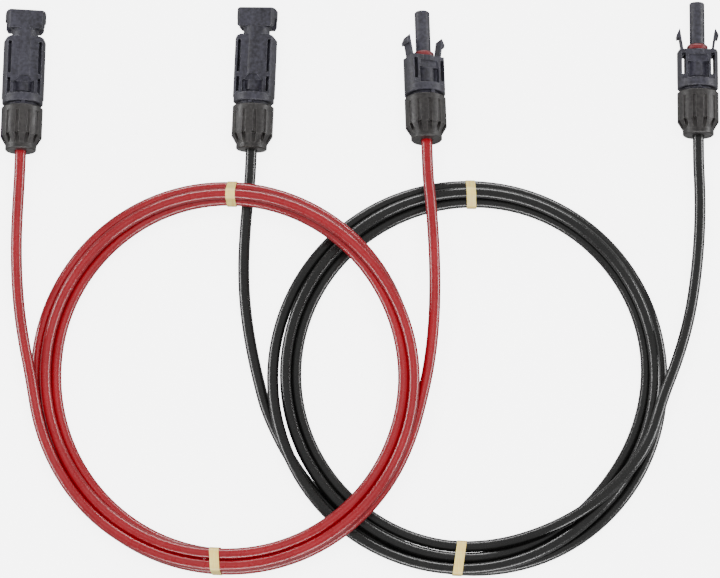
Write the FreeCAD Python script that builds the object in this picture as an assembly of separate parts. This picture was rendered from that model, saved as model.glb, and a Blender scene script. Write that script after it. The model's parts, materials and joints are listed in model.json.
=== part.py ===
import FreeCAD, Part
import math
import os

# A pair of photovoltaic extension leads, one black and one red, lying on a surface at Z = 0.
# Each lead is a tied round coil of cable with a pin coupler on its left tail and a socket coupler
# on its right tail. The red coil leans on the black one.
# Frame: +X to the right along the row of couplers, +Y from the coils to the couplers' front ends,
# +Z up. The origin is on the surface, at the middle of the row of four couplers. Millimetres.

os.makedirs("parts", exist_ok=True)
V = FreeCAD.Vector
AXIS = V(0, 1, 0)                    # a coupler is made with its own axis along +Y
ORIGIN = V(0, 0, 0)

# Cable
CABLE_R = 2.6                        # jacket of a 4 mm2 solar cable
CONDUCTOR_R = 1.3
STUB_BEHIND = 6.0                    # straight cable behind the cap nut, which the nut backs on to
JACKET_END = 21.0
CONDUCTOR_END = 28.0

# Cap nut, counted from its rear end at Y = 0
NUT_R = 9.5
NUT_LENGTH = 20.3
NUT_RING_R = 7.15
NUT_RING_END = 2.4
NUT_TAPER_END = 6.4
NUT_FLUTES_END = 17.7
NUT_FLUTES = 12
NUT_FLUTE_R = 0.85
NUT_EXIT_R = 2.85
NUT_CONE_END = 4.6
NUT_COLLET_R = 6.1
NUT_THREAD_START = 8.5
NUT_THREAD_R = 7.6

# Threaded spigot and collar at the rear of a housing
SPIGOT_R = 7.5
SPIGOT_START = 9.3
SPIGOT_BORE_R = 6.7
SPIGOT_BORE_END = 14.5
SPIGOT_ROOT_R = 6.95
THREAD_PITCH = 1.5
THREAD_RIDGES = 7
SEAL_POCKET_R = 4.35
SEAL_POCKET_END = 16.0
COLLAR_START = 21.9
COLLAR_END = 25.6
COLLAR_R = 9.4
LUG_START = 20.7                     # index lug in the gap behind the collar
LUG_HALF_X = 0.8
LUG_TOP_Z = 8.6
CHAMBER_R = 2.8                      # bore for the contact and the jacket's end

# Clamping collet and gland seal
COLLET_START = 5.0
COLLET_SHOULDER = 12.6
COLLET_END = 14.3
COLLET_IN_R = 4.4
COLLET_FINGER_R = 5.9
COLLET_BASE_R = 6.6
COLLET_SLOTS = 4                     # each cut goes right across, so there are twice as many fingers
COLLET_SLOT = 1.0
GLAND_SEAL = (5.4, 15.5)
GLAND_SEAL_R = 4.2

# Body that both housings share: an inner barrel in an outer shell with flat top and bottom
BARREL_R = 6.1
FLAT_Z = 5.5
WINDOW_HALF_X = 4.8
WINDOW_FLOOR_Z = 3.2
WINDOW_BARREL_R = 5.0
BAND_BARREL_R = 4.3
BAND_END = 27.6
TRAPEZOID_WIDE = 4.2
TRAPEZOID_NARROW = 1.8
TRAPEZOID_FLOOR_Z = 4.9

# Pin coupler
PIN_LENGTH = 66.0
PIN_SHELL_R = 9.7
PIN_SHELL_END = 53.6
PIN_SHOULDER = 2.3
PIN_WINDOW_END = 32.0
PIN_TRAPEZOID_END = 34.7
PIN_SLOTS = ((26.4, 33.5), (35.6, 51.0))
PIN_SLOT_X = (6.2, 7.6)
PIN_SLOT_WEB = 1.0
HEAD_START = 57.3
HEAD_R = 9.4
HEAD_FLAT_Z = 5.9
HEAD_CHAMFER = 1.7
EAR_SLOT_X = (6.3, 8.2)
EAR_SLOT_Z = 3.4
EAR_LEDGE = 4.6                      # depth at which the hooks catch
RECEPTACLE_R = 3.75
RECEPTACLE_FLOOR = 42.6
RECEPTACLE_SEAT_R = 4.95
RECEPTACLE_SEAT = 3.4
CHAMBER_END_PIN = 40.0
PIN_CONTACT_R = 2.0
PIN_CONTACT_END = 60.0
PIN_BASE_R = 2.3                     # where the contact goes through the receptacle's floor
PIN_HOLE_R = 2.35

# Socket coupler
SOCKET_LENGTH = 63.2
SOCKET_SHELL_R = 9.45
SOCKET_FRONT = 40.0
SOCKET_WINDOW_END = 34.2
SOCKET_RECESS_END = 37.5
SOCKET_SLOT = (28.0, 38.2)
SOCKET_SLOT_X = (5.8, 7.55)
NOSE_R = 3.5
NOSE_ROOT_R = 3.3                    # under the front seal
NOSE_STEP = 0.3                      # from the seal's front to the full nose
NOSE_BORE_R = 2.65
NOSE_LIP = 1.5
NOSE_LIP_R = 2.2
FRONT_SEAL = (40.05, 43.0)
FRONT_SEAL_R = 4.85
SOCKET_CONTACT_R = 2.55
SOCKET_CONTACT_IN_R = 2.03
SOCKET_CONTACT_START = 36.0
SOCKET_GROOVE_R = 2.36
SOCKET_GROOVE = (48.0, 56.0)
SPRING_IN_R = 2.08
SPRING_OUT_R = 2.34
SPRING_SLOTS = 6

# Latch arms
ARM_PIVOT = (6.7, 38.4)              # X and Y of the root that the arm bends about
ARM_TIP_Y = 50.4
ARM_THICK = 0.9
ARM_BREADTH = 6.0
ARM_SPLAY = 9.0                      # degrees outward at rest
ARM_ROOT_R = 0.8
ARM_HOOK_START = 46.3
ARM_HOOK = 1.1
ARM_DOOR_X = (5.75, 7.9)
ARM_DOOR_Z = 3.3

# Couplers: rear end of the cap nut, lean toward +X, nose-down pitch and roll about the axis, degrees
COUPLERS = {
    "red_pin": dict(rear=(-155.8, -35.6, 10.9), lean=1.1, pitch=3.4, roll=8.0),
    "black_pin": dict(rear=(-49.9, -34.8, 9.5), lean=2.3, pitch=0.0, roll=-8.0),
    "red_socket": dict(rear=(30.55, -31.4, 14.6), lean=-1.7, pitch=9.0, roll=26.0),
    "black_socket": dict(rear=(155.4, -28.4, 10.75), lean=0.5, pitch=3.0, roll=0.0),
}

# Coils: centre of the ring on its own base plane, with the ties that hold its bundle together
COIL_R = 84.6
COIL_HEIGHT = 10.4
COIL_CORNER = 2.6
TIE_WIDTH = 4.5
TIE_THICK = 0.6
COILS = {
    "black": dict(centre=(50.1, -138.2), width=15.6, tilt=0.0, uphill=0.0, ties=(89.4, 266.5)),
    "red": dict(centre=(-60.3, -139.9), width=13.4, tilt=5.9, uphill=14.1, ties=(88.1, 268.6)),
}

# Tails: points chosen by hand from the straight stub behind each coupler to its coil
LEAD_IN = 8.0                        # the first run goes straight on from the stub
ROUTES = {
    "red_pin": (
        (-156.7, -62.0, 11.2), (-157.2, -77.0, 10.6), (-156.8, -93.0, 10.4),
        (-155.4, -109.0, 10.8), (-152.9, -124.5, 11.2), (-149.8, -139.0, 11.0),
    ),
    "black_pin": (
        (-51.5, -59.0, 9.0), (-52.6, -71.5, 7.6), (-53.4, -86.0, 5.6), (-53.1, -100.5, 4.0),
        (-51.6, -115.0, 3.0), (-49.0, -129.5, 2.75), (-45.6, -144.0, 2.65), (-42.3, -156.0, 2.75),
    ),
    "red_socket": (
        (31.3, -51.5, 18.4), (32.3, -61.0, 19.9), (33.1, -72.5, 20.9), (33.8, -86.0, 21.6),
        (34.0, -101.0, 21.9), (33.5, -116.0, 21.8), (32.0, -131.0, 21.4), (29.3, -146.0, 21.0),
    ),
    "black_socket": (
        (155.7, -54.0, 11.4), (155.6, -67.5, 10.9), (154.7, -81.5, 10.5), (153.1, -95.5, 10.8),
        (150.7, -109.5, 12.0), (147.2, -123.0, 13.8), (142.6, -136.5, 15.0), (137.2, -150.0, 13.2),
    ),
}


# ---------------------------------------------------------------- helpers, along a coupler's axis
def rod(radius, start, end):
    return Part.makeCylinder(radius, end - start, V(0, start, 0), AXIS)


def pipe(outer, inner, start, end):
    return rod(outer, start, end).cut(rod(inner, start - 1, end + 1))


def block(x, y, z):
    """A box between two values along each axis."""
    return Part.makeBox(x[1] - x[0], y[1] - y[0], z[1] - z[0], V(x[0], y[0], z[0]))


def lathe(profile):
    """A solid of revolution about the axis, from (radius, y) points."""
    points = [V(r, y, 0) for r, y in profile]
    face = Part.Face(Part.makePolygon(points + points[:1]))
    return face.revolve(ORIGIN, AXIS, 360)


def plate(outline, z):
    """A prism over an outline in X and Y."""
    points = [V(x, y, z[0]) for x, y in outline]
    face = Part.Face(Part.makePolygon(points + points[:1]))
    return face.extrude(V(0, 0, z[1] - z[0]))


def both_sides(right_half):
    """The closed outline whose right half is given, front to back."""
    return list(right_half) + [(-x, y) for x, y in reversed(right_half)]


def turned(shape, degrees):
    copy = shape.copy()
    copy.rotate(ORIGIN, AXIS, degrees)
    return copy


def flipped(shape):
    """The shape and its copy turned over, so that a cut is made in the top and the bottom."""
    return shape.fuse(turned(shape, 180))


# ---------------------------------------------------------------- pieces that all couplers have
def cap_nut():
    outer = lathe([
        (0, 0), (NUT_RING_R - 0.5, 0), (NUT_RING_R, 0.5), (NUT_RING_R, NUT_RING_END),
        (NUT_R, NUT_TAPER_END), (NUT_R, NUT_LENGTH - 0.4), (NUT_R - 0.4, NUT_LENGTH),
        (0, NUT_LENGTH),
    ])
    flute = Part.makeCylinder(
        NUT_FLUTE_R, NUT_FLUTES_END - NUT_RING_END, V(NUT_R + 0.2, NUT_RING_END, 0), AXIS)
    notch = block((NUT_RING_R, NUT_R + 1), (NUT_RING_END, NUT_TAPER_END + 0.6), (-0.95, 0.95))
    for i in range(NUT_FLUTES):
        angle = (i + 0.5) * 360 / NUT_FLUTES
        outer = outer.cut(turned(flute, angle))
        outer = outer.cut(turned(notch, angle))
    hollow = lathe([
        (0, -1), (NUT_EXIT_R, -1), (NUT_EXIT_R, 1.6), (NUT_COLLET_R, NUT_CONE_END),
        (NUT_COLLET_R, NUT_THREAD_START), (NUT_THREAD_R, NUT_THREAD_START + 0.6),
        (NUT_THREAD_R, NUT_LENGTH + 1), (0, NUT_LENGTH + 1),
    ])
    return outer.cut(hollow)


def collet():
    body = lathe([
        (COLLET_IN_R, COLLET_START), (COLLET_IN_R + 0.35, COLLET_START),
        (COLLET_FINGER_R, COLLET_START + 1.6), (COLLET_FINGER_R, COLLET_SHOULDER),
        (COLLET_BASE_R, COLLET_SHOULDER), (COLLET_BASE_R, COLLET_END), (COLLET_IN_R, COLLET_END),
    ])
    cut = block(
        (-COLLET_BASE_R - 1, COLLET_BASE_R + 1), (COLLET_START - 1, COLLET_SHOULDER - 1.2),
        (-COLLET_SLOT / 2, COLLET_SLOT / 2))
    for i in range(COLLET_SLOTS):
        body = body.cut(turned(cut, i * 180 / COLLET_SLOTS))
    return body


def gland_seal():
    start, end = GLAND_SEAL
    groove = 0.3
    profile = [(CABLE_R, start)]
    lands = 4
    step = (end - start) / lands
    for i in range(lands):
        y = start + i * step
        profile += [
            (GLAND_SEAL_R - groove, y), (GLAND_SEAL_R, y + 0.5),
            (GLAND_SEAL_R, y + step - 0.7), (GLAND_SEAL_R - groove, y + step - 0.2),
        ]
    profile += [(GLAND_SEAL_R - groove, end), (CABLE_R, end)]
    return lathe(profile)


def rear_of_housing():
    """Threaded spigot, collar and its index lug, solid: the bores are cut later."""
    profile = [(0, SPIGOT_START), (SPIGOT_ROOT_R, SPIGOT_START)]
    for i in range(THREAD_RIDGES):
        y = SPIGOT_START + 0.5 + i * THREAD_PITCH
        profile += [
            (SPIGOT_ROOT_R, y), (SPIGOT_R, y + 0.4), (SPIGOT_R, y + 0.65), (SPIGOT_ROOT_R, y + 1.05),
        ]
    profile += [
        (SPIGOT_ROOT_R, COLLAR_START), (COLLAR_R - 0.4, COLLAR_START),
        (COLLAR_R, COLLAR_START + 0.4), (COLLAR_R, COLLAR_END), (0, COLLAR_END),
    ]
    lug = block((-LUG_HALF_X, LUG_HALF_X), (LUG_START, COLLAR_START + 0.5), (SPIGOT_ROOT_R - 0.3, LUG_TOP_Z))
    return lathe(profile).fuse(lug)


def rear_bores():
    return (
        rod(SPIGOT_BORE_R, SPIGOT_START - 1, SPIGOT_BORE_END)
        .fuse(rod(SEAL_POCKET_R, SPIGOT_BORE_END - 1, SEAL_POCKET_END))
        .fuse(rod(CHAMBER_R, SEAL_POCKET_END - 1, CHAMBER_END_PIN)))


def shell(radius, end, half_outline):
    """Outer shell: a cylinder with a flat top and bottom, inside a plan outline."""
    flat = block((-radius, radius), (COLLAR_END - 1, end), (-FLAT_Z, FLAT_Z))
    plan = plate(both_sides(half_outline), (-radius, radius))
    return rod(radius, COLLAR_END - 1, end).common(flat).common(plan)


def window(end, recess):
    """Cut in the top: a window on to the barrel, a deeper band at the collar, and a recess."""
    opening = block(
        (-WINDOW_HALF_X, WINDOW_HALF_X), (COLLAR_END, end), (WINDOW_FLOOR_Z, FLAT_Z + 2))
    opening = opening.cut(rod(WINDOW_BARREL_R, BAND_END, end + 1))
    opening = opening.cut(rod(BAND_BARREL_R, COLLAR_END - 1, BAND_END))
    return opening.fuse(plate(recess, (TRAPEZOID_FLOOR_Z, FLAT_Z + 2)))


# ---------------------------------------------------------------- pin coupler
def pin_housing():
    r = PIN_SHELL_R
    body = shell(r, PIN_SHELL_END, [
        (BARREL_R - 1, PIN_SHELL_END), (BARREL_R + 0.6, PIN_SHELL_END - 0.1),
        (BARREL_R + 2.3, PIN_SHELL_END - 0.9), (r, PIN_SHELL_END - PIN_SHOULDER),
        (r, COLLAR_END - 1),
    ])
    body = body.fuse(rod(BARREL_R, COLLAR_END - 1, PIN_LENGTH - 0.5))
    head_plan = plate(both_sides([
        (HEAD_R - 0.7, PIN_LENGTH), (HEAD_R, PIN_LENGTH - 0.7),
        (HEAD_R, HEAD_START + HEAD_CHAMFER), (HEAD_R - HEAD_CHAMFER, HEAD_START),
    ]), (-HEAD_FLAT_Z, HEAD_FLAT_Z))
    head = rod(HEAD_R, HEAD_START, PIN_LENGTH).common(head_plan)
    body = body.fuse(head).fuse(rear_of_housing())
    ledge = PIN_LENGTH - EAR_LEDGE
    for side in (1, -1):
        for start, end in PIN_SLOTS:
            for low, high in ((PIN_SLOT_WEB, FLAT_Z + 1), (-FLAT_Z - 1, -PIN_SLOT_WEB)):
                x = sorted(side * v for v in PIN_SLOT_X)
                body = body.cut(block(x, (start, end), (low, high)))
        x = sorted(side * v for v in EAR_SLOT_X)
        body = body.cut(block(x, (HEAD_START - 1, PIN_LENGTH + 1), (-EAR_SLOT_Z, EAR_SLOT_Z)))
        x = sorted(side * v for v in (EAR_SLOT_X[1] - 0.5, HEAD_R + 1))
        body = body.cut(block(x, (HEAD_START - 1, ledge), (-EAR_SLOT_Z, EAR_SLOT_Z)))
    trapezoid = [
        (-TRAPEZOID_WIDE, PIN_WINDOW_END - 0.1), (TRAPEZOID_WIDE, PIN_WINDOW_END - 0.1),
        (TRAPEZOID_NARROW, PIN_TRAPEZOID_END), (-TRAPEZOID_NARROW, PIN_TRAPEZOID_END),
    ]
    body = body.cut(flipped(window(PIN_WINDOW_END, trapezoid)))
    body = body.cut(rear_bores())
    body = body.cut(rod(PIN_HOLE_R, CHAMBER_END_PIN - 1, RECEPTACLE_FLOOR + 1))
    body = body.cut(rod(RECEPTACLE_R, RECEPTACLE_FLOOR, PIN_LENGTH + 1))
    return body.cut(rod(RECEPTACLE_SEAT_R, PIN_LENGTH - RECEPTACLE_SEAT, PIN_LENGTH + 1))


def crimp_profile(front):
    """Half section shared by both contacts: crimp barrel, locking flange, then the front part."""
    return [
        (CONDUCTOR_R + 0.05, JACKET_END + 0.4), (2.2, JACKET_END + 0.4), (2.2, 29.0), (2.7, 29.6),
        (2.7, 31.0), (2.0, 31.0), (2.0, 32.6), (2.6, 33.0), (2.6, 34.0),
    ] + front + [(0, CONDUCTOR_END + 0.4), (CONDUCTOR_R + 0.05, CONDUCTOR_END + 0.4)]


def pin_contact():
    r = PIN_CONTACT_R
    base_end = RECEPTACLE_FLOOR + 0.1
    return lathe(crimp_profile([
        (PIN_BASE_R, 34.4), (PIN_BASE_R, base_end), (r, base_end + 0.3),
        (r, PIN_CONTACT_END - 1.6), (r - 0.4, PIN_CONTACT_END - 0.5),
        (r - 1.1, PIN_CONTACT_END), (0, PIN_CONTACT_END),
    ]))


# ---------------------------------------------------------------- socket coupler
def socket_housing():
    r = SOCKET_SHELL_R
    body = shell(r, SOCKET_FRONT, [
        (r - 0.8, SOCKET_FRONT), (r, SOCKET_FRONT - 0.8), (r, COLLAR_END - 1),
    ])
    body = body.fuse(rod(BARREL_R, COLLAR_END - 1, SOCKET_FRONT)).fuse(rear_of_housing())
    nose = lathe([
        (0, SOCKET_FRONT - 1), (NOSE_ROOT_R, SOCKET_FRONT - 1), (NOSE_ROOT_R, FRONT_SEAL[1] + NOSE_STEP),
        (NOSE_R, FRONT_SEAL[1] + NOSE_STEP), (NOSE_R, SOCKET_LENGTH - 0.4),
        (NOSE_R - 0.4, SOCKET_LENGTH), (0, SOCKET_LENGTH),
    ])
    body = body.fuse(nose)
    for side in (1, -1):
        x = sorted(side * v for v in SOCKET_SLOT_X)
        body = body.cut(block(x, SOCKET_SLOT, (-FLAT_Z - 2, FLAT_Z + 2)))
        x = sorted(side * v for v in ARM_DOOR_X)
        body = body.cut(block(x, (SOCKET_SLOT[1] - 1.6, SOCKET_FRONT + 1), (-ARM_DOOR_Z, ARM_DOOR_Z)))
    recess = [
        (-WINDOW_HALF_X, SOCKET_WINDOW_END - 0.1), (WINDOW_HALF_X, SOCKET_WINDOW_END - 0.1),
        (TRAPEZOID_WIDE, SOCKET_RECESS_END), (-TRAPEZOID_WIDE, SOCKET_RECESS_END),
    ]
    body = body.cut(flipped(window(SOCKET_WINDOW_END, recess)))
    body = body.cut(rear_bores().cut(rod(CHAMBER_R + 1, SOCKET_CONTACT_START, CHAMBER_END_PIN)))
    body = body.cut(rod(NOSE_BORE_R, SOCKET_CONTACT_START - 1, SOCKET_LENGTH - NOSE_LIP))
    return body.cut(rod(NOSE_LIP_R, SOCKET_CONTACT_START, SOCKET_LENGTH + 1))


def socket_contact():
    r = SOCKET_CONTACT_R
    front = SOCKET_LENGTH - NOSE_LIP - 0.1
    groove_start, groove_end = SOCKET_GROOVE
    return lathe(crimp_profile([
        (r, 34.4), (r, front - 0.2), (r - 0.2, front), (SOCKET_CONTACT_IN_R + 0.12, front),
        (SOCKET_CONTACT_IN_R, front - 0.3), (SOCKET_CONTACT_IN_R, groove_end),
        (SOCKET_GROOVE_R, groove_end), (SOCKET_GROOVE_R, groove_start),
        (SOCKET_CONTACT_IN_R, groove_start), (SOCKET_CONTACT_IN_R, SOCKET_CONTACT_START + 2),
        (0, SOCKET_CONTACT_START + 2),
    ]))


def contact_spring():
    start, end = SOCKET_GROOVE
    band = pipe(SPRING_OUT_R, SPRING_IN_R, start + 0.1, end - 0.1)
    gap = block((-SPRING_OUT_R - 1, SPRING_OUT_R + 1), (start + 1.3, end - 1.3), (-0.22, 0.22))
    for i in range(SPRING_SLOTS):
        band = band.cut(turned(gap, i * 180 / SPRING_SLOTS))
    return band


def front_seal():
    start, end = FRONT_SEAL
    r = FRONT_SEAL_R
    return lathe([
        (NOSE_ROOT_R, start), (r - 0.5, start), (r, start + 0.7), (r, end - 0.9),
        (r - 0.25, end - 0.4), (r - 0.7, end), (NOSE_ROOT_R, end),
    ])


def latch_arm(side):
    """Slender arm with an outward hook, made upright and then splayed about its root."""
    pivot_x, pivot_y = ARM_PIVOT
    half = ARM_THICK / 2
    tip = ARM_TIP_Y
    beam = plate([
        (pivot_x - half, pivot_y), (pivot_x - half, tip), (pivot_x - half + 0.25, tip),
        (pivot_x + half + ARM_HOOK, ARM_HOOK_START + 1.5), (pivot_x + half + ARM_HOOK, ARM_HOOK_START),
        (pivot_x + half, ARM_HOOK_START + 0.2), (pivot_x + half, pivot_y),
    ], (-ARM_BREADTH / 2, ARM_BREADTH / 2))
    root = Part.makeCylinder(
        ARM_ROOT_R, ARM_BREADTH, V(pivot_x, pivot_y, -ARM_BREADTH / 2), V(0, 0, 1))
    arm = beam.fuse(root)
    arm.rotate(V(pivot_x, pivot_y, 0), V(0, 0, 1), -ARM_SPLAY)
    return arm if side > 0 else turned(arm, 180)


# ---------------------------------------------------------------- where a coupler lies
def placement(coupler):
    spin = (
        FreeCAD.Rotation(V(0, 0, 1), -coupler["lean"])
        .multiply(FreeCAD.Rotation(V(1, 0, 0), -coupler["pitch"]))
        .multiply(FreeCAD.Rotation(AXIS, coupler["roll"])))
    return FreeCAD.Placement(V(*coupler["rear"]), spin)


def placed(shape, where):
    copy = shape.copy()
    copy.Placement = where.multiply(copy.Placement)
    return copy


# ---------------------------------------------------------------- cable
def rounded_path(points):
    """Straight runs joined by tangent arcs, each as large as its two runs allow."""
    edges = []
    radii = []
    here = points[0]
    for before, corner, after in zip(points, points[1:], points[2:]):
        back = (before - corner).normalize()
        ahead = (after - corner).normalize()
        turn = math.pi - back.getAngle(ahead)
        reach = 0.45 * min(corner.distanceToPoint(before), corner.distanceToPoint(after))
        radius = reach / math.tan(turn / 2)
        start = corner + back * reach
        end = corner + ahead * reach
        middle_way = (back + ahead).normalize()
        depth = radius / math.cos(turn / 2) - radius
        edges.append(Part.LineSegment(here, start).toShape())
        edges.append(Part.Arc(start, corner + middle_way * depth, end).toShape())
        radii.append(radius)
        here = end
    edges.append(Part.LineSegment(here, points[-1]).toShape())
    return Part.Wire(edges), radii


def tail(name):
    where = placement(COUPLERS[name])
    start = where.multVec(V(0, -STUB_BEHIND, 0))
    points = [start, where.multVec(V(0, -STUB_BEHIND - LEAD_IN, 0))]
    points += [V(*p) for p in ROUTES[name]]
    path, radii = rounded_path(points)
    circle = Part.Wire(Part.makeCircle(CABLE_R, start, points[1] - start))
    tube = path.makePipeShell([circle], True, False)
    share = tube.Volume / (math.pi * CABLE_R ** 2 * path.Length)
    print(f"{name} tail: {path.Length:.1f} mm, tightest arc {min(radii):.1f} mm, volume ratio {share:.4f}")
    return tube


def coil_placement(coil):
    """Ring frame: tilted up toward one side and resting on the surface at the opposite side."""
    uphill = math.radians(coil["uphill"])
    tilt = math.radians(coil["tilt"])
    corner_r = COIL_R + coil["width"] / 2 - COIL_CORNER
    corner_z = TIE_THICK + COIL_CORNER
    lift = corner_r * math.sin(tilt) - corner_z * math.cos(tilt) + COIL_CORNER
    lift = max(0.0, lift)
    spin = FreeCAD.Rotation(V(math.sin(uphill), -math.cos(uphill), 0), coil["tilt"])
    x, y = coil["centre"]
    return FreeCAD.Placement(V(x, y, lift), spin)


def section(coil, grow):
    """Rounded rectangle of the bundle's section in the XZ plane, grown by a margin."""
    half = coil["width"] / 2 + grow
    low = TIE_THICK - grow
    high = TIE_THICK + COIL_HEIGHT + grow
    corner = COIL_CORNER + grow
    slab = Part.makeBox(2 * half, 1, high - low, V(COIL_R - half, 0, low))
    upright = [e for e in slab.Edges if abs(e.Vertexes[0].Y - e.Vertexes[-1].Y) > 0.5]
    rounded = slab.makeFillet(corner, upright)
    return [f for f in rounded.Faces if abs(f.CenterOfMass.y) < 1e-6][0]


def coil_ring(coil):
    ring = section(coil, 0).revolve(ORIGIN, V(0, 0, 1), 360)
    return placed(ring, coil_placement(coil))


def coil_tie(coil, angle):
    sweep = math.degrees(TIE_WIDTH / COIL_R)
    band = section(coil, TIE_THICK).cut(section(coil, 0)).Faces[0]
    piece = band.revolve(ORIGIN, V(0, 0, 1), sweep)
    piece.rotate(ORIGIN, V(0, 0, 1), angle - sweep / 2)
    return placed(piece, coil_placement(coil))


# ---------------------------------------------------------------- all sub-parts
def coupler_parts(kind):
    """Sub-parts of a coupler in its own frame."""
    parts = {
        "nut": cap_nut(),
        "collet": collet(),
        "gland_seal": gland_seal(),
        "conductor": rod(CONDUCTOR_R, JACKET_END, CONDUCTOR_END),
        "cable_stub": rod(CABLE_R, -STUB_BEHIND, JACKET_END),
    }
    if kind == "pin":
        parts["housing"] = pin_housing()
        parts["contact"] = pin_contact()
    else:
        parts["housing"] = socket_housing()
        parts["contact"] = socket_contact()
        parts["spring"] = contact_spring()
        parts["front_seal"] = front_seal()
        parts["latch_right"] = latch_arm(1)
        parts["latch_left"] = latch_arm(-1)
    return parts


shapes = {}
for kind in ("pin", "socket"):
    made = coupler_parts(kind)
    for colour in ("black", "red"):
        name = f"{colour}_{kind}"
        where = placement(COUPLERS[name])
        for piece, shape in made.items():
            shapes[f"{name}_{piece}"] = placed(shape, where)
        shapes[f"{name}_tail"] = tail(name)
for colour, coil in COILS.items():
    shapes[f"{colour}_coil"] = coil_ring(coil)
    for place, angle in zip(("top", "bottom"), coil["ties"]):
        shapes[f"{colour}_tie_{place}"] = coil_tie(coil, angle)

for name, shape in shapes.items():
    box = shape.optimalBoundingBox(False, False)
    if not shape.isValid() or len(shape.Solids) != 1:
        print(f"CHECK {name}: valid {shape.isValid()}, solids {len(shape.Solids)}")
    if box.ZMin < -0.01:
        print(f"CHECK {name}: reaches {box.ZMin:.2f} mm below the surface")
    shape.exportStep(f"parts/{name}.step")
print(f"{len(shapes)} sub-parts")
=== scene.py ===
"""Two photovoltaic extension leads, one black and one red: tied coils of cable with couplers."""
import json
import math

import bpy
import numpy as np
from mathutils import Matrix, Vector


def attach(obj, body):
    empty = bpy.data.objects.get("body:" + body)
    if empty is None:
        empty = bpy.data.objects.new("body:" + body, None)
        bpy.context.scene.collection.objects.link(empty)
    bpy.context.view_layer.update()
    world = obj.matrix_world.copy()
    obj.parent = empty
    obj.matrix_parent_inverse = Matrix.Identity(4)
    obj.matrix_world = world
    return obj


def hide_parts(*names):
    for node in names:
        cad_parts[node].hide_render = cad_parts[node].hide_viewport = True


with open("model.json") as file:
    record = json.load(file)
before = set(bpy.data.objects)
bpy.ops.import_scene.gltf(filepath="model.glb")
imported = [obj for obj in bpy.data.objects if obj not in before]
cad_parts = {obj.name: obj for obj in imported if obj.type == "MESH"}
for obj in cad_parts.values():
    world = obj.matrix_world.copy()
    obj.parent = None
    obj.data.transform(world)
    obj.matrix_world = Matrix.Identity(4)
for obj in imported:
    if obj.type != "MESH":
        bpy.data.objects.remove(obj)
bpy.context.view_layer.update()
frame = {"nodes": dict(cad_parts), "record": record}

MM = 0.001

# Cable, coils and ties, as in the CAD source
CABLE_D = 5.2 * MM
COIL_R = 84.6 * MM
COIL_CORNER = 2.6 * MM
TIE_THICK = 0.6 * MM
STUB_BEHIND = 6.0 * MM
LEAD_IN = 8.0 * MM
JACKET_END = 20.8 * MM               # a cord's end in its coupler, 0.2 mm short of the CAD one

# Couplers: rear of the cap nut in mm, lean toward +X and nose-down pitch in degrees
COUPLERS = {
    "red_pin": ((-155.8, -35.6, 10.9), 1.1, 3.4),
    "black_pin": ((-49.9, -34.8, 9.5), 2.3, 0.0),
    "red_socket": ((30.55, -31.4, 14.6), -1.7, 9.0),
    "black_socket": ((155.4, -28.4, 10.75), 0.5, 3.0),
}

# Points of each tail behind the straight stub, in mm, from the coupler to the coil
ROUTES = {
    "red_pin": (
        (-156.7, -62.0, 11.2), (-157.2, -77.0, 10.6), (-156.8, -93.0, 10.4),
        (-155.4, -109.0, 10.8), (-152.9, -124.5, 11.2), (-149.8, -139.0, 11.0),
    ),
    "black_pin": (
        (-51.5, -59.0, 9.0), (-52.6, -71.5, 7.6), (-53.4, -86.0, 5.6), (-53.1, -100.5, 4.0),
        (-51.6, -115.0, 3.0), (-49.0, -129.5, 2.75), (-45.6, -144.0, 2.65), (-42.3, -156.0, 2.75),
    ),
    "red_socket": (
        (31.3, -51.5, 18.4), (32.3, -61.0, 19.9), (33.1, -72.5, 20.9), (33.8, -86.0, 21.6),
        (34.0, -101.0, 21.9), (33.5, -116.0, 21.8), (32.0, -131.0, 21.4), (29.3, -146.0, 21.0),
    ),
    "black_socket": (
        (155.7, -54.0, 11.4), (155.6, -67.5, 10.9), (154.7, -81.5, 10.5), (153.1, -95.5, 10.8),
        (150.7, -109.5, 12.0), (147.2, -123.0, 13.8), (142.6, -136.5, 15.0), (137.2, -150.0, 13.2),
    ),
}

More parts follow.
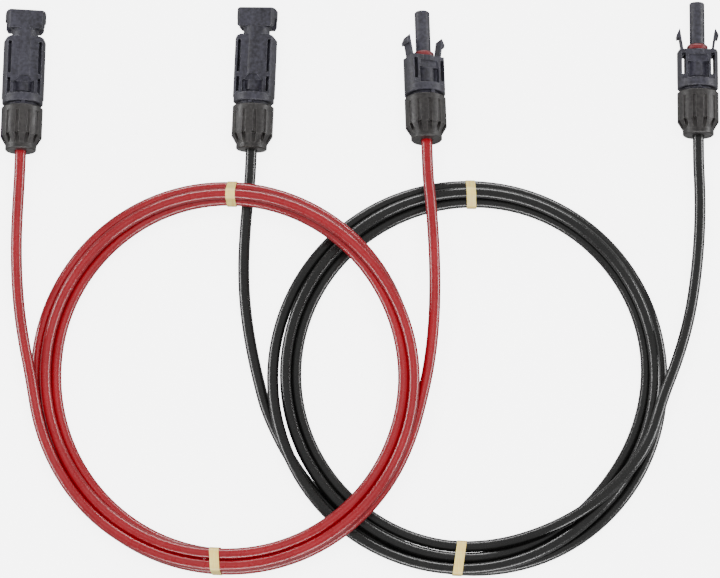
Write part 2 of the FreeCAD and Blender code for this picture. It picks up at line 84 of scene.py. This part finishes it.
# Coils. A cord winds on anticlockwise from the left tail. Each lay key is the angle wound so far in
# degrees, then the strand's place in the bundle in cable diameters: outward of the coil's mean
# radius, and above the coil's underside. A whole turn later is 360 degrees more. The red coil is
# pressed a little flat, by squash in mm at the angle squash_at and opposite it. The CAD coil is round.
COILS = {
    "black": dict(
        centre=(50.1, -138.2), width=15.6, tilt=0.0, uphill=0.0, squash=0.0, squash_at=0,
        first=205, last=1418,
        lay=(
            (190, 1.50, 0.42), (205, 1.05, 0.42), (225, 0.60, 0.50), (250, 0.72, 0.50),
            (270, 0.88, 0.50), (300, 1.02, 0.50), (330, 0.90, 0.50), (360, 0.58, 0.50),
            (450, 0.55, 0.50), (510, 0.85, 0.60), (540, 1.02, 0.95), (555, 1.10, 1.35),
            (570, 1.15, 1.45), (585, 1.20, 1.30), (607, 1.05, 1.42), (630, 0.85, 1.48),
            (645, 0.60, 1.42), (660, 0.25, 1.36), (675, 0.00, 1.34), (690, -0.10, 1.30),
            (720, -0.05, 1.34), (780, -0.05, 1.34), (810, -0.12, 1.25), (840, -0.15, 1.15),
            (900, -0.10, 1.03), (945, -0.15, 0.95), (975, -0.05, 0.90), (990, -0.12, 0.75),
            (1005, -0.30, 0.50), (1020, -0.58, 0.50), (1035, -1.00, 0.50), (1050, -1.02, 0.50),
            (1065, -0.90, 0.50), (1095, -0.62, 0.50), (1140, -0.62, 0.50), (1170, -0.85, 0.50),
            (1200, -1.02, 0.50), (1260, -0.98, 0.50), (1305, -1.10, 0.50), (1345, -1.12, 0.60),
            (1365, -1.28, 0.65), (1380, -1.08, 1.35), (1390, -0.75, 1.75), (1400, -0.40, 2.15),
            (1410, 0.00, 2.30), (1418, 0.35, 2.42),
        )),
    "red": dict(
        centre=(-60.3, -139.9), width=13.4, tilt=5.9, uphill=14.1, squash=2.0, squash_at=35,
        first=195, last=1420,
        lay=(
            (180, 0.85, 2.07), (225, 0.79, 1.52), (270, 0.39, 1.47), (360, 0.52, 1.45),
            (382, 0.38, 1.50), (405, 0.10, 1.45), (450, -0.15, 1.42), (540, -0.10, 1.22),
            (585, -0.15, 1.35), (610, -0.40, 1.45), (630, -0.62, 1.50), (720, -0.40, 1.37),
            (742, -0.45, 1.05), (765, -0.44, 0.55), (810, -0.55, 0.50), (855, -0.82, 0.50),
            (900, -0.92, 0.50), (990, -0.62, 0.50), (1080, 0.10, 0.50), (1102, 0.35, 0.50),
            (1125, 0.50, 0.50), (1170, 0.55, 0.50), (1260, 0.87, 0.50), (1350, 0.64, 0.50),
            (1395, 0.75, 0.50), (1420, 0.88, 0.52),
        )),
}
# Ties: angle of each, and the shift of its outer side along the bundle per unit across it
TIES = {
    "black": (("top", 89.4, 0.06), ("bottom", 266.5, -0.09)),
    "red": (("top", 88.4, 0.0), ("bottom", 267.2, 0.10)),
}
TIE_WIDTH = 4.3 * MM
TIE_FILM = 0.25 * MM
TIE_GAP = 0.1 * MM                   # between the film and the strands
TIE_LAP = (200, 290)                 # directions, from outward, where the film lies double
TIE_STEP = 5                         # degrees between the points of the film's section
TIE_EDGE = 0.3                       # rounding of the film's edges, in film thicknesses
TIE_EDGE_ABOVE = math.radians(60)    # the least angle that is rounded
COIL_STEP = 15                       # degrees between the points of a cord's turns
CORD_SMOOTH_ALONG = 5                # steps between two points of a cord
CORD_SMOOTH_ROUND = 8                # bevel resolution of a cord's section


# ---------------------------------------------------------------- camera
ELEVATION = math.radians(81)
VIEW_CENTRE = Vector((0.0, -99.2, 8.0)) * MM
VIEW_WIDTH = 329.0 * MM
VIEW_DISTANCE = 1.6
SENSOR_WIDTH = 36                    # mm

lens = bpy.data.cameras.new("camera")
lens.sensor_width = SENSOR_WIDTH
lens.lens = SENSOR_WIDTH * VIEW_DISTANCE / VIEW_WIDTH
camera = bpy.data.objects.new("camera", lens)
back = Vector((0, -math.cos(ELEVATION), math.sin(ELEVATION)))
camera.location = VIEW_CENTRE + back * VIEW_DISTANCE
camera.rotation_euler = (-back).to_track_quat("-Z", "Y").to_euler()
bpy.context.scene.collection.objects.link(camera)
bpy.context.scene.camera = camera


# ---------------------------------------------------------------- materials
EDGE_ROUNDING = 0.3 * MM
GRAIN = 0.04 * MM                    # height of the surface grain
SMOOTH_BELOW = math.radians(25)      # an edge sharper than this stays sharp


class Nodes:
    """Short calls for building one material's node tree."""

    def __init__(self, name):
        self.material = bpy.data.materials.new(name)
        self.material.use_nodes = True
        self.tree = self.material.node_tree
        self.shader = self.tree.nodes["Principled BSDF"]

    def add(self, kind, **values):
        node = self.tree.nodes.new(kind)
        for key, value in values.items():
            setattr(node, key, value)
        return node

    def link(self, out, into):
        self.tree.links.new(out, into)

    def noise(self, scale, detail=2.0, stretch=(1, 1, 1), place=None):
        """Noise in the object's own metres, drawn out along an axis where stretch is small."""
        if place is None:
            mapping = self.add("ShaderNodeMapping")
            mapping.inputs["Scale"].default_value = stretch
            self.link(self.add("ShaderNodeTexCoord").outputs["Object"], mapping.inputs["Vector"])
            place = mapping.outputs["Vector"]
        noise = self.add("ShaderNodeTexNoise")
        noise.inputs["Scale"].default_value = scale
        noise.inputs["Detail"].default_value = detail
        self.link(place, noise.inputs["Vector"])
        return noise.outputs["Fac"]

    def math(self, operation, *values):
        """One math node. A value is another node's output or a plain number."""
        node = self.add("ShaderNodeMath", operation=operation)
        for value, into in zip(values, node.inputs):
            if isinstance(value, (int, float)):
                into.default_value = value
            else:
                self.link(value, into)
        return node.outputs["Value"]

    def spread(self, value, low, high, start=0.3, end=0.7):
        """A value between start and end, spread over a range of numbers."""
        node = self.add("ShaderNodeMapRange")
        node.inputs["From Min"].default_value = start
        node.inputs["From Max"].default_value = end
        node.inputs["To Min"].default_value = low
        node.inputs["To Max"].default_value = high
        self.link(value, node.inputs["Value"])
        return node.outputs["Result"]

    def colours(self, value, dark, light, start=0.3, end=0.7):
        """A colour between two, by a value from start to end."""
        ramp = self.add("ShaderNodeValToRGB")
        ramp.color_ramp.elements[0].position = start
        ramp.color_ramp.elements[1].position = end
        ramp.color_ramp.elements[0].color = (*dark, 1)
        ramp.color_ramp.elements[1].color = (*light, 1)
        self.link(value, ramp.inputs["Fac"])
        return ramp.outputs["Color"]

    def mix(self, factor, first, second):
        node = self.add("ShaderNodeMix", data_type="RGBA")
        self.link(factor, node.inputs["Factor"])
        for colour, into in ((first, "A"), (second, "B")):
            socket = next(i for i in node.inputs if i.name == into and i.type == "RGBA")
            if isinstance(colour, tuple):
                socket.default_value = (*colour, 1)
            else:
                self.link(colour, socket)
        return next(o for o in node.outputs if o.type == "RGBA")

    def edges(self, radius):
        """A normal rounded over sharp edges, and a value that rises from 0 to 1 along them."""
        rounded = self.add("ShaderNodeBevel", samples=6)
        rounded.inputs["Radius"].default_value = radius
        compare = self.add("ShaderNodeVectorMath", operation="DOT_PRODUCT")
        self.link(rounded.outputs["Normal"], compare.inputs[0])
        self.link(self.add("ShaderNodeNewGeometry").outputs["Normal"], compare.inputs[1])
        return rounded.outputs["Normal"], self.spread(compare.outputs["Value"], 1, 0, 0.90, 0.995)

    def round_cable(self, around, along):
        """Place on a cord's skin, seamless round it: finer round it, and drawn out along it."""
        uv = self.add("ShaderNodeSeparateXYZ")
        self.link(self.add("ShaderNodeTexCoord").outputs["UV"], uv.inputs["Vector"])
        turn = self.math("MULTIPLY", uv.outputs["Y"], 2 * math.pi)
        place = self.add("ShaderNodeCombineXYZ")
        self.link(self.math("MULTIPLY", self.math("COSINE", turn), around), place.inputs["X"])
        self.link(self.math("MULTIPLY", self.math("SINE", turn), around), place.inputs["Y"])
        self.link(self.math("MULTIPLY", uv.outputs["X"], along), place.inputs["Z"])
        return place.outputs["Vector"]

    def bump(self, height, strength, distance, normal=None):
        bump = self.add("ShaderNodeBump")
        bump.inputs["Strength"].default_value = strength
        bump.inputs["Distance"].default_value = distance
        self.link(height, bump.inputs["Height"])
        if normal is not None:
            self.link(normal, bump.inputs["Normal"])
        self.link(bump.outputs["Normal"], self.shader.inputs["Normal"])

    def finish(self, colour, roughness, specular):
        self.link(colour, self.shader.inputs["Base Color"])
        self.link(roughness, self.shader.inputs["Roughness"])
        self.shader.inputs["Specular IOR Level"].default_value = specular
        return self.material


def srgb(r, g, b):
    """Linear colour from 0-255 display values."""
    return tuple(((c / 255 + 0.055) / 1.055) ** 2.4 if c > 10 else c / 255 / 12.92 for c in (r, g, b))


def moulded(name, dark, light, worn_and_highlit, rough):
    """Moulded plastic: spark-eroded grain, flow marks along the part, and edges painted paler, partly as
    rubbed wear and partly as a painted highlight.
    """
    n = Nodes(name)
    rounded, edge = n.edges(EDGE_ROUNDING)
    flow = n.noise(90, 4, stretch=(1, 0.35, 1))
    mottle = n.noise(700, 3)
    tone = n.math("ADD", n.math("MULTIPLY", flow, 0.45), n.math("MULTIPLY", mottle, 0.55))
    # Sharp edges are painted paler, toward the edge colour: partly rubbed wear, partly a painted
    # highlight where light catches them.
    rubbed_and_highlit = n.math("MULTIPLY", edge, n.spread(n.noise(400, 3), 0.15, 1))
    colour = n.mix(rubbed_and_highlit, n.colours(tone, dark, light, 0.38, 0.62), worn_and_highlit)
    n.bump(n.noise(3600, 3), 0.5, GRAIN, rounded)
    return n.finish(colour, n.spread(n.noise(260, 4), rough - 0.1, rough + 0.1), 0.3)


def rubber(name, dark, light, rough):
    """Moulded silicone: even and satin, with a bloom of fine dust."""
    n = Nodes(name)
    dust = n.spread(n.noise(2400, 4), 0, 0.35, 0.55, 0.75)
    colour = n.mix(dust, n.colours(n.noise(500, 3), dark, light), worn_tone(light))
    n.bump(n.noise(2800, 2), 0.3, GRAIN)
    return n.finish(colour, n.spread(n.noise(600, 3), rough - 0.08, rough + 0.1), 0.35)


def worn_tone(colour):
    """A little paler and greyer."""
    return tuple(0.75 * c + 0.05 for c in colour)


def plated(name, dark, light, rough):
    """Tin plate: drawn and turned marks, with duller patches."""
    n = Nodes(name)
    n.bump(n.noise(900, 3, stretch=(6, 0.4, 6)), 0.25, GRAIN)
    n.shader.inputs["Metallic"].default_value = 1.0
    colour = n.colours(n.noise(800, 4), dark, light)
    return n.finish(colour, n.spread(n.noise(1500, 3), rough - 0.1, rough + 0.15), 0.5)


def jacket(name, dark, light, scuff, rough):
    """Cross-linked cable jacket: satin skin with fine drawing lines along it, specks and scuffs."""
    n = Nodes(name)
    lines = n.noise(1.0, 3, place=n.round_cable(9, 30))
    patches = n.noise(45, 3)
    tone = n.math("ADD", n.math("MULTIPLY", lines, 0.5), n.math("MULTIPLY", patches, 0.5))
    scuffs = n.spread(n.noise(900, 4), 0, 0.35, 0.66, 0.8)
    colour = n.mix(scuffs, n.colours(tone, dark, light, 0.4, 0.6), scuff)
    n.bump(lines, 0.05, GRAIN)
    return n.finish(colour, n.spread(n.noise(220, 3), rough - 0.04, rough + 0.05), 0.5)


def film(name, dark, light, rough):
    """Cream strapping film: fine lines drawn along it and creases across it."""
    n = Nodes(name)
    drawn = n.noise(1700, 3, stretch=(1, 0.06, 0.06))
    crease = n.noise(520, 3, stretch=(0.15, 1, 1))
    tone = n.math("ADD", n.math("MULTIPLY", drawn, 0.65), n.math("MULTIPLY", crease, 0.35))
    n.bump(tone, 0.6, GRAIN)
    n.shader.inputs["Subsurface Weight"].default_value = 0.15
    n.shader.inputs["Subsurface Radius"].default_value = (0.0008, 0.0006, 0.0004)
    colour = n.colours(tone, dark, light, 0.36, 0.64)
    return n.finish(colour, n.spread(crease, rough - 0.08, rough + 0.12), 0.45)


MATERIALS = {
    # A moulded part's third colour is its pale edge colour: rubbed wear and a painted highlight.
    "housing": moulded("housing", srgb(27, 26, 32), srgb(54, 53, 63), srgb(92, 92, 100), 0.52),
    "cap_nut": moulded("cap_nut", srgb(28, 26, 26), srgb(50, 48, 47), srgb(88, 86, 84), 0.45),
    "collet": moulded("collet", srgb(34, 34, 36), srgb(52, 52, 54), srgb(90, 90, 92), 0.5),
    "gland_rubber": rubber("gland_rubber", srgb(56, 56, 57), srgb(74, 74, 75), 0.7),
    "seal_red": rubber("seal_red", srgb(84, 14, 20), srgb(112, 26, 32), 0.5),
    "contact_metal": plated("contact_metal", srgb(178, 176, 172), srgb(214, 212, 208), 0.3),
    "conductor_strands": plated("conductor_strands", srgb(176, 156, 136), srgb(214, 200, 186), 0.35),
    "cable_black": jacket("cable_black", srgb(10, 10, 10), srgb(16, 16, 15), srgb(40, 39, 38), 0.27),
    "cable_red": jacket("cable_red", srgb(126, 0, 15), srgb(142, 3, 20), srgb(164, 30, 40), 0.28),
    "tie": film("tie", srgb(246, 208, 108), srgb(255, 238, 142), 0.4),
}
for part in frame["record"]["subparts"]:
    mesh = frame["nodes"][part["node"]].data
    mesh.shade_smooth()
    mesh.set_sharp_from_angle(angle=SMOOTH_BELOW)
    mesh.materials.clear()
    mesh.materials.append(MATERIALS[part["material_slot"]])


# ---------------------------------------------------------------- cords
def coupler_matrix(name):
    rear, lean, pitch = COUPLERS[name]
    return (
        Matrix.Translation(Vector(rear) * MM)
        @ Matrix.Rotation(-math.radians(lean), 4, "Z")
        @ Matrix.Rotation(-math.radians(pitch), 4, "X"))


def tail_points(name):
    """From inside the coupler to the coil."""
    where = coupler_matrix(name)
    along = (JACKET_END, -STUB_BEHIND, -STUB_BEHIND - LEAD_IN)
    return [where @ Vector((0, y, 0)) for y in along] + [Vector(p) * MM for p in ROUTES[name]]


def coil_matrix(coil):
    """The coil's own frame, tilted up toward one side and resting on the floor at the other."""
    tilt = math.radians(coil["tilt"])
    uphill = math.radians(coil["uphill"])
    corner_r = COIL_R + coil["width"] / 2 * MM - COIL_CORNER
    corner_z = TIE_THICK + COIL_CORNER
    lift = max(0.0, corner_r * math.sin(tilt) - corner_z * math.cos(tilt) + COIL_CORNER)
    x, y = coil["centre"]
    return (
        Matrix.Translation((x * MM, y * MM, lift))
        @ Matrix.Rotation(tilt, 4, Vector((math.sin(uphill), -math.cos(uphill), 0))))


def lay_at(coil, wound):
    """A strand's radius and height in the coil's own frame."""
    angles, outward, above = zip(*coil["lay"])
    squash = coil["squash"] * MM * math.cos(math.radians(wound - coil["squash_at"])) ** 2
    radius = COIL_R - squash + CABLE_D * float(np.interp(wound, angles, outward))
    return radius, TIE_THICK + CABLE_D * float(np.interp(wound, angles, above))


def coil_points(coil):
    """Control points of the turns. They lie outside the curve that they pull round."""
    where = coil_matrix(coil)
    steps = round((coil["last"] - coil["first"]) / COIL_STEP)
    outside = 1 / math.cos(math.radians(COIL_STEP / 2))
    for i in range(steps + 1):
        wound = coil["first"] + (coil["last"] - coil["first"]) * i / steps
        radius, height = lay_at(coil, wound)
        angle = math.radians(wound)
        flat = radius * outside
        yield where @ Vector((flat * math.cos(angle), flat * math.sin(angle), height))


def make_cord(colour):
    """One cord from the pin coupler, round the coil and into the socket coupler."""
    points = tail_points(f"{colour}_pin")
    points += list(coil_points(COILS[colour]))
    points += reversed(tail_points(f"{colour}_socket"))
    curve = bpy.data.curves.new(f"{colour}_cord", "CURVE")
    curve.dimensions = "3D"
    curve.resolution_u = CORD_SMOOTH_ALONG
    curve.bevel_depth = CABLE_D / 2
    curve.bevel_resolution = CORD_SMOOTH_ROUND
    curve.use_fill_caps = True
    spline = curve.splines.new("NURBS")
    spline.points.add(len(points) - 1)
    for place, point in zip(spline.points, points):
        place.co = (*point, 1)
    spline.order_u = 3
    spline.use_endpoint_u = True
    curve.materials.append(MATERIALS[f"cable_{colour}"])
    cord = bpy.data.objects.new(f"{colour}_cord", curve)
    bpy.context.scene.collection.objects.link(cord)
    return cord


def tie_section(coil, angle):
    """Ring round the bundle at an angle: each side's place on the bundle's hull, and its direction."""
    passes = range(round(angle), coil["last"], 360)
    strands = [Vector(lay_at(coil, wound)) for wound in passes if wound > coil["first"]]
    for step in range(0, 360, TIE_STEP):
        turn = math.radians(step)
        outward = Vector((math.cos(turn), math.sin(turn)))
        strand = max(strands, key=outward.dot)
        lapped = TIE_LAP[0] <= step <= TIE_LAP[1]
        yield strand + outward * (CABLE_D / 2 + TIE_GAP), outward, TIE_FILM * (2 if lapped else 1)


def make_tie(colour, end, angle, slant):
    """A band of film drawn tight round the bundle."""
    coil = COILS[colour]
    where = coil_matrix(coil)
    turn = math.radians(angle)
    out = Vector((math.cos(turn), math.sin(turn), 0))
    along = Vector((-math.sin(turn), math.cos(turn), 0))
    vertices = []
    for place, outward, thick in tie_section(coil, angle):
        skew = slant * (place.x - COIL_R)
        for side, depth in ((-1, 0), (-1, thick), (1, thick), (1, 0)):
            x, z = place + outward * depth
            vertices.append(where @ (out * x + along * (skew + side * TIE_WIDTH / 2) + Vector((0, 0, z))))
    count = len(vertices)
    faces = [
        (i + k, i + (k + 1) % 4, (i + 4) % count + (k + 1) % 4, (i + 4) % count + k)
        for i in range(0, count, 4) for k in range(4)]
    mesh = bpy.data.meshes.new(f"{colour}_film_{end}")
    mesh.from_pydata(vertices, [], faces)
    mesh.materials.append(MATERIALS["tie"])
    tie = bpy.data.objects.new(f"{colour}_film_{end}", mesh)
    bpy.context.scene.collection.objects.link(tie)
    rounding = tie.modifiers.new("rounding", "BEVEL")
    rounding.width = TIE_FILM * TIE_EDGE
    rounding.segments = 2
    rounding.limit_method = "ANGLE"
    rounding.angle_limit = TIE_EDGE_ABOVE
    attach(tie, f"{colour}_lead")
    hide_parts(f"{colour}_tie_{end}")
    return tie


for colour in COILS:
    ties = [make_tie(colour, *tie) for tie in TIES[colour]]
    cord = make_cord(colour)
    nodes = [n for n in frame["nodes"] if n.startswith(f"{colour}_")]
    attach(cord, f"{colour}_lead")
    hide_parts(*[n for n in nodes if n.endswith(("_tail", "_cable_stub", "_coil"))])


# ---------------------------------------------------------------- floor and light
def area_light(name, place, aim, size, power, glossy):
    """A lamp for reflections only if glossy, and otherwise for diffuse light only."""
    data = bpy.data.lights.new(name, "AREA")
    data.shape = "RECTANGLE"
    data.size, data.size_y = size
    data.energy = power
    light = bpy.data.objects.new(name, data)
    light.location = place
    light.rotation_euler = (Vector(place) - Vector(aim)).to_track_quat("Z", "Y").to_euler()
    light.visible_glossy = glossy
    light.visible_diffuse = not glossy
    bpy.context.scene.collection.objects.link(light)


FLOOR_REACH = 3.0
FLOOR_GLOW = 5.0
AIM = (0, -0.1, 0)
OVERHEAD_HEIGHT = 1.5
OVERHEAD_SIZE = (1.2, 1.2)
OVERHEAD_POWER = 31
STRIP_DISTANCE = 1.1
STRIP_HEIGHT = 0.26
STRIP_SIZE = (1.4, 0.16)
STRIP_POWER = 20
WORLD_STRENGTH = 0.7

mesh = bpy.data.meshes.new("floor")
corners = [(x * FLOOR_REACH, y * FLOOR_REACH, 0) for x, y in ((-1, -1), (1, -1), (1, 1), (-1, 1))]
mesh.from_pydata(corners, [], [(0, 1, 2, 3)])
floor = bpy.data.objects.new("floor", mesh)
bpy.context.scene.collection.objects.link(floor)
n = Nodes("floor")
n.link(n.colours(n.noise(4), (0.86, 0.86, 0.86), (0.9, 0.9, 0.9)), n.shader.inputs["Base Color"])
n.shader.inputs["Roughness"].default_value = 0.9
n.shader.inputs["Emission Color"].default_value = (1, 1, 1, 1)
n.shader.inputs["Emission Strength"].default_value = FLOOR_GLOW
floor.data.materials.append(n.material)
floor.visible_glossy = False
floor.visible_diffuse = False

above = (AIM[0], AIM[1], OVERHEAD_HEIGHT)
area_light("overhead", above, AIM, OVERHEAD_SIZE, OVERHEAD_POWER, glossy=False)
for name, x, y in (("left", -1, 0), ("right", 1, 0), ("far", 0, 1), ("near", 0, -1)):
    place = (AIM[0] + STRIP_DISTANCE * x, AIM[1] + STRIP_DISTANCE * y, STRIP_HEIGHT)
    area_light(name, place, AIM, STRIP_SIZE, STRIP_POWER, glossy=True)
world = bpy.data.worlds.new("studio")
world.use_nodes = True
background = world.node_tree.nodes["Background"]
background.inputs["Color"].default_value = (1, 1, 1, 1)
background.inputs["Strength"].default_value = WORLD_STRENGTH
bpy.context.scene.world = world
